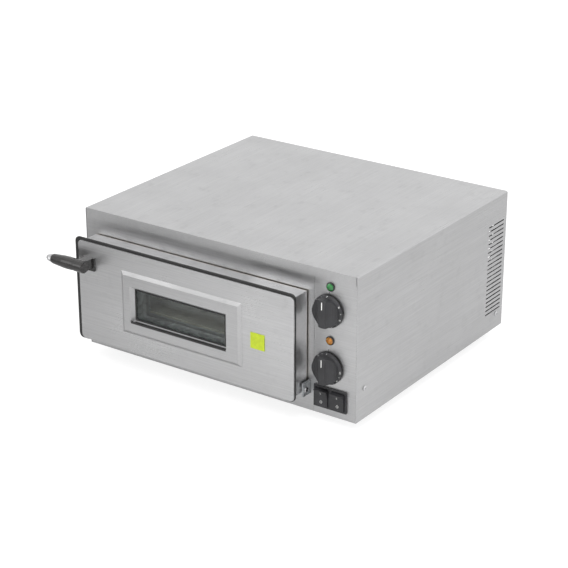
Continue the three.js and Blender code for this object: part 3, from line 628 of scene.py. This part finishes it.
def carved(solid, cutter):
    """The first mesh with the second one cut out of it."""
    pair = [bpy.data.objects.new("temporary", mesh) for mesh in (solid, cutter)]
    for member in pair:
        bpy.context.scene.collection.objects.link(member)
    cut = pair[0].modifiers.new("cut", "BOOLEAN")
    cut.operation = "DIFFERENCE"
    cut.object = pair[1]
    cut.solver = "MANIFOLD"
    graph = bpy.context.evaluated_depsgraph_get()
    mesh = bpy.data.meshes.new_from_object(pair[0].evaluated_get(graph))
    for member in pair:
        bpy.data.objects.remove(member)
    return mesh


def cross_recess(reach, half_width, bottom, top):
    """Two crossed blocks, in millimetres, that cut the recess of a screw head."""
    cross = Shape()
    for x, y in ((reach, half_width), (half_width, reach)):
        cross.block(Vector((-x, -y, bottom)) * MM, Vector((x, y, top)) * MM)
    return cross.mesh("recess")


def screw_mesh(profile, recess):
    """A turned head with its cross recess, standing on z = 0 and reaching a little below it."""
    head = Shape().lathe(profile, (0, 0, 0), Z, 28).mesh("head")
    return carved(head, cross_recess(*recess))


# ---------------------------------------------------------------- fasteners

# Each head: its (radius, height) profile, then the reach, half-width and heights of its recess.
PAN_HEAD = screw_mesh(
    [(0, -1), (3.5, -1), (3.5, 0.7), (3.2, 1.4), (2.3, 1.9), (1.1, 2.1), (0, 2.15)],
    (1.9, 0.42, 0.9, 3.0),
)
FLAT_HEAD = screw_mesh(
    [(0, -1), (3.1, -1), (3.1, 0.25), (2.8, 0.5), (1.6, 0.62), (0, 0.65)],
    (1.7, 0.38, -0.2, 1.5),
)

PANEL_INSET = 9 * MM  # from a panel's edge to its screws
MOUTH_INSET = 4.2 * MM  # from the edge of the liner's flange to its screws
HINGE_CLEAR = 14.4 * MM  # extra height of the door's lower screws, above the hinge pins
FOOT_RECESS = 5 * MM  # depth of the recess in a foot, from the worktop to its screw's seat


def spread(low, high, count):
    return [low + (high - low) * i / (count - 1) for i in range(count)]


def screw_rows(lo, hi, inset, y, way, raised=0.0):
    """Four screws along the bottom of a box and four along its top, on a plane across Y."""
    xs = spread(lo.x + inset, hi.x - inset, 4)
    heights = (lo.z + inset + raised, hi.z - inset)
    return [(Vector((x, y, z)), way) for x in xs for z in heights]


def screws(name, mesh, places, body):
    Shape().copies(mesh, places).piece(name, "bright_steel", body, "bright_steel")


def panel_screws():
    lo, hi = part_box("rear_panel")
    screws("rear_panel_screws", PAN_HEAD, screw_rows(lo, hi, PANEL_INSET, hi.y, Y), "oven_body")
    lo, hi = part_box("chamber_liner")
    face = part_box("front_frame")[0].y
    screws("mouth_screws", FLAT_HEAD, screw_rows(lo, hi, MOUTH_INSET, face, -Y), "oven_body")
    lo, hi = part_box("door_inner_pan")
    rows = screw_rows(lo, hi, PANEL_INSET, hi.y, Y, raised=HINGE_CLEAR)
    screws("door_pan_screws", FLAT_HEAD, rows, "door")


def foot_screws():
    places = []
    for name in nodes:
        if name.startswith("foot_"):
            lo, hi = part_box(name)
            places.append((Vector(((lo.x + hi.x) / 2, (lo.y + hi.y) / 2, FOOT_RECESS)), -Z))
    screws("foot_screws", PAN_HEAD, places, "oven_body")


panel_screws()
foot_screws()


# ---------------------------------------------------------------- casing details

def gland_nut():
    """Six-sided nut round the neck of the cord gland; its heights start at the casing's rear."""
    lo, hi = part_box("cord_gland")
    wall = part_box("casing_wrap")[1].y
    at = Vector(((lo.x + hi.x) / 2, wall, (lo.z + hi.z) / 2))
    profile = [(9.6, 4.4), (13, 4.4), (13.5, 5), (13.5, 9.8), (13, 10.4), (9.6, 10.4), (9.6, 4.4)]
    nut = Shape().lathe(profile, at, Y, 6)
    nut.piece("gland_nut", "black_plastic", "oven_body", "black_plastic")


gland_nut()


# ---------------------------------------------------------------- heater clips

LINER_FLANGE = 6 * MM  # from the inner faces of the liner's walls to its front flange's edge
CLIP_GAP = 0.2 * MM  # between a clip's feet and the liner
TUBE_GAP = 0.4 * MM  # between a clip and the tube in it
CLIP_WIDTH = 7 * MM
CLIP_PLACES = (70 * MM, 250 * MM)  # along a heater, from its left end


def saddle(x, y, surface, way, centre, radius):
    """Outline of a strap with two feet on a surface and an arch over a tube along X."""
    sheet, foot, steps = 0.8 * MM, 8 * MM, 10
    outer, rise = radius + sheet, abs(centre - surface)
    arc = [math.pi * i / steps for i in range(steps + 1)]
    points = [(-outer - foot, 0), (-outer - foot, sheet), (-outer, sheet)]
    points += [(-outer * math.cos(a), rise + outer * math.sin(a)) for a in arc]
    points += [(outer, sheet), (outer + foot, sheet), (outer + foot, 0), (radius, 0)]
    points += [(radius * math.cos(a), rise + radius * math.sin(a)) for a in arc]
    points += [(-radius, 0)]
    return [Vector((x, y + along, surface + way * up)) for along, up in points]


def heater_clips():
    """Saddles that hold each straight run of the heating elements to the liner."""
    floor_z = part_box("chamber_liner")[0].z + LINER_FLANGE + CLIP_GAP
    roof_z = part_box("chamber_liner")[1].z - LINER_FLANGE - CLIP_GAP
    for node, surface, way in (("lower_heater", floor_z, 1), ("upper_heater", roof_z, -1)):
        lo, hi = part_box(node)
        radius, centre = (hi.z - lo.z) / 2, (lo.z + hi.z) / 2
        clips = Shape()
        for y in spread(lo.y + radius, hi.y - radius, 4):
            for place in CLIP_PLACES:
                outline = saddle(lo.x + place, y, surface, way, centre, radius + TUBE_GAP)
                clips.band(outline, CLIP_WIDTH, X)
        clips.piece(node + "_clips", "zinc_sheet", "oven_body", "galvanised_sheet")


heater_clips()


# ---------------------------------------------------------------- printed marks

INK = 0.05 * MM  # half the thickness of a printed mark
BAR_LINKS = 3  # a bar is made in links, so that it can follow a curved face
CAP_HEIGHT = 0.7  # height of the built-in font's figures, as a share of its size

# Widths and lengths of the dial marks, and where they sit from the knob's rim or centre.
NUMERAL_HEIGHT, NUMERAL_INSET = 1.9 * MM, 1.75 * MM
TICK_SIZE, TICK_INSET = (0.35 * MM, 1.5 * MM), 1.6 * MM
POINTER_SIZE, POINTER_RADIUS = (1.5 * MM, 13 * MM), 15 * MM
INDEX_SIZE, INDEX_GAP = (1.1 * MM, 3.4 * MM), 3.2 * MM

# Marks on a rocker: a bar, and a ring of short links, at equal heights from the middle.
BAR_SIZE = (0.7 * MM, 4 * MM)
LINK_SIZE = (0.56 * MM, 0.6 * MM, 2 * INK)
RING_RADIUS, RING_LINKS = 2 * MM, 24
MARK_OFFSET = 8 * MM


def stamped(mesh, node):
    """Lays a mesh drawn in the XZ plane, its y as depth outwards, on the front of a CAD node."""
    tree = BVHTree.FromObject(nodes[node], bpy.context.evaluated_depsgraph_get())
    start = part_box(node)[0].y - 10 * MM  # clear of the front
    for vertex in mesh.vertices:
        hit = tree.ray_cast(Vector((vertex.co.x, start, vertex.co.z)), Y)[0]
        vertex.co.y = hit.y - vertex.co.y
    return mesh


def numeral(text, height):
    """A number drawn flat in the XY plane about its middle."""
    curve = bpy.data.curves.new("numeral", "FONT")
    curve.body = text
    curve.size = height / CAP_HEIGHT
    curve.align_x, curve.align_y = "CENTER", "CENTER"
    curve.extrude = INK
    curve.resolution_u = 3
    holder = bpy.data.objects.new("numeral", curve)
    mesh = bpy.data.meshes.new_from_object(holder)
    bpy.data.objects.remove(holder)
    return mesh


def turned_mark(centre, angle, radius):
    """Matrix that takes a flat mark's x, y and depth to its place, anticlockwise from the top."""
    right = Vector((math.cos(angle), 0, math.sin(angle)))
    out = Vector((-math.sin(angle), 0, math.cos(angle)))
    at = Vector((centre.x, 0, centre.z)) + out * radius
    turn = Matrix((right, out, Y)).transposed().to_4x4()
    return Matrix.Translation(at) @ turn


def flat_bar(marks, size, place):
    """A bar as thick as the ink, in equal links along its length."""
    width, length = size
    link = Matrix.Diagonal((width, length / BAR_LINKS, 2 * INK, 1))
    for j in range(BAR_LINKS):
        middle = Matrix.Translation((0, length * ((j + 0.5) / BAR_LINKS - 0.5), 0))
        bmesh.ops.create_cube(marks.bm, matrix=place @ middle @ link)
    return marks


def print_on(node, marks, name, body, ink="white_ink"):
    """Makes marks drawn flat into a piece that lies on the front of a CAD node."""
    piece_of(stamped(marks.mesh(name), node), name, ink, body)


def dial_scale(word, body, values, sweep):
    """Numerals and ticks round the skirt of a knob, a line down its grip and a fixed index mark."""
    knob = word + "_knob"
    lo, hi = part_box(knob)
    centre = (lo + hi) / 2
    rim = (hi.x - lo.x) / 2
    marks = Shape()
    step = math.radians(sweep) / (len(values) - 1)
    for i, value in enumerate(values):
        text = numeral(str(value), NUMERAL_HEIGHT)
        text.transform(turned_mark(centre, i * step, rim - NUMERAL_INSET))
        marks.bm.from_mesh(text)
        if i:
            flat_bar(marks, TICK_SIZE, turned_mark(centre, (i - 0.5) * step, rim - TICK_INSET))
    print_on(knob, marks, word + "_scale", body)
    line = flat_bar(Shape(), POINTER_SIZE, turned_mark(centre, 0, POINTER_RADIUS))
    print_on(knob, line, word + "_pointer", body)
    index = flat_bar(Shape(), INDEX_SIZE, turned_mark(centre, 0, rim + INDEX_GAP))
    print_on("control_panel", index, word + "_index", "oven_body", "black_ink")


def rocker_marks(node, body):
    """A bar on the upper half and a ring on the lower half."""
    lo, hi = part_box(node)
    middle = (lo + hi) / 2
    marks = flat_bar(Shape(), BAR_SIZE, turned_mark(middle + Z * MARK_OFFSET, 0, 0))
    link = Matrix.Diagonal((*LINK_SIZE, 1))
    for part in range(RING_LINKS):
        angle = 2 * math.pi * part / RING_LINKS
        place = turned_mark(middle - Z * MARK_OFFSET, angle, RING_RADIUS)
        bmesh.ops.create_cube(marks.bm, matrix=place @ link)
    print_on(node, marks, node + "_marks", body)


dial_scale("timer", "timer_dial", range(0, 61, 10), 300)
dial_scale("thermostat", "thermostat_dial", range(0, 351, 50), 270)
rocker_marks("power_rocker", "power_key")
rocker_marks("light_rocker", "light_key")


# ---------------------------------------------------------------- stage, light and camera

CAMERA = {"azimuth": 34.9, "elevation": 22.7, "distance": 3.19, "lens": 112.6}
CAMERA_OFFSET = Vector((-0.032, 0.0, 0.107))  # target, from the middle of the casing's floor line
BRIGHT_WAY = Vector((0.55, 0.55, 0.45))  # the studio is brightest behind and right of the oven
WORLD_RAMP = (-0.9, 0.7)  # how far a direction agrees with that way, at the darkest and brightest
WORLD_LEVELS = (0.66, 1.02)
FLOOR_SIZE = 40
FLOOR_GREYS = (0.51, 0.54)
FLOOR_SHADE_SPAN = (-0.7, -0.08)  # across X, in metres, where painted shade darkens the floor's colour to the left, seen only in reflections
# share of the floor's colour left at the dark end of the painted shade
FLOOR_SHADE_LEVEL = 0.61
SEEN_GREY, SEEN_GLOW = (0.22, 0.22, 0.22), 0.86  # add up to white, but for soft shadows
LIGHTS = (  # name, place, size, power, seen in reflections
    ("overhead", (0.9, 1.2, 2.6), 2.4, 42, False),
    ("front", (0.55, -1.0, 1.1), 0.6, 13, False),
    ("left", (-1.5, -2.4, 0.95), 1.6, 10, True),
)


def make_camera():
    """A long lens from the front right, above the oven."""
    lo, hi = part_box("casing_wrap")
    target = Vector(((lo.x + hi.x) / 2, (lo.y + hi.y) / 2, 0)) + CAMERA_OFFSET
    data = bpy.data.cameras.new("camera")
    data.lens = CAMERA["lens"]
    data.clip_start, data.clip_end = 0.05, 60
    camera = bpy.data.objects.new("camera", data)
    bpy.context.scene.collection.objects.link(camera)
    a, e = math.radians(CAMERA["azimuth"]), math.radians(CAMERA["elevation"])
    back = Vector((math.sin(a) * math.cos(e), -math.cos(a) * math.cos(e), math.sin(e)))
    camera.location = target + back * CAMERA["distance"]
    camera.rotation_mode = "QUATERNION"
    camera.rotation_quaternion = (-back).to_track_quat("-Z", "Y")
    bpy.context.scene.camera = camera


def make_world():
    """A soft studio, brighter on one side, and white wherever the camera sees it directly."""
    world = bpy.data.worlds.new("studio")
    bpy.context.scene.world = world
    world.use_nodes = True
    tree = world.node_tree
    way = tree.nodes.new("ShaderNodeTexCoord")
    dot = tree.nodes.new("ShaderNodeVectorMath")
    dot.operation = "DOT_PRODUCT"
    dot.inputs[1].default_value = BRIGHT_WAY.normalized()
    level = tree.nodes.new("ShaderNodeMapRange")
    level.interpolation_type = "SMOOTHSTEP"
    for index, number in enumerate((*WORLD_RAMP, *WORLD_LEVELS), start=1):
        level.inputs[index].default_value = number
    tree.links.new(way.outputs["Generated"], dot.inputs[0])
    tree.links.new(dot.outputs["Value"], level.inputs[0])
    seen = tree.nodes.new("ShaderNodeLightPath").outputs["Is Camera Ray"]
    brighter = tree.nodes.new("ShaderNodeMath")
    brighter.operation = "MAXIMUM"
    tree.links.new(level.outputs[0], brighter.inputs[0])
    tree.links.new(seen, brighter.inputs[1])
    tree.nodes["Background"].inputs["Color"].default_value = (1, 1, 1, 1)
    tree.links.new(brighter.outputs[0], tree.nodes["Background"].inputs["Strength"])


def make_light(name, location, size, power, mirrored):
    """A square lamp aimed at the foot of the oven."""
    data = bpy.data.lights.new(name, "AREA")
    data.shape = "SQUARE"
    data.size = size
    data.energy = power
    light = bpy.data.objects.new(name, data)
    bpy.context.scene.collection.objects.link(light)
    light.location = location
    light.visible_glossy = mirrored
    light.rotation_mode = "QUATERNION"
    light.rotation_quaternion = (-Vector(location)).to_track_quat("-Z", "Y")


def make_floor():
    """A pale floor, white to the camera; reflections see a softer grey, with painted shade that
    darkens it to the left.
    """
    bpy.ops.mesh.primitive_plane_add(size=FLOOR_SIZE)
    floor = bpy.context.object
    floor.name = "floor"
    g = Graph("floor")
    seen = g.add("ShaderNodeLightPath").outputs["Is Camera Ray"]
    speckle = g.step(g.noise(14, 4), 0.3, 0.7, *FLOOR_GREYS)
    # painted shade: the floor's colour darkens to the left, so the left of the door reflects a
    # darker floor
    painted_shade = g.step(g.split(g.place)[0], *FLOOR_SHADE_SPAN, FLOOR_SHADE_LEVEL, 1.0)
    g.set({
        "Base Color": g.mix(seen, g.math("MULTIPLY", speckle, painted_shade), SEEN_GREY),
        "Roughness": 0.7,
        "Emission Color": (1, 1, 1),
        "Emission Strength": g.math("MULTIPLY", seen, SEEN_GLOW),
    })
    floor.data.materials.append(g.material)


make_camera()
make_world()
for light in LIGHTS:
    make_light(*light)
make_floor()
bpy.context.scene.view_settings.view_transform = "Standard"
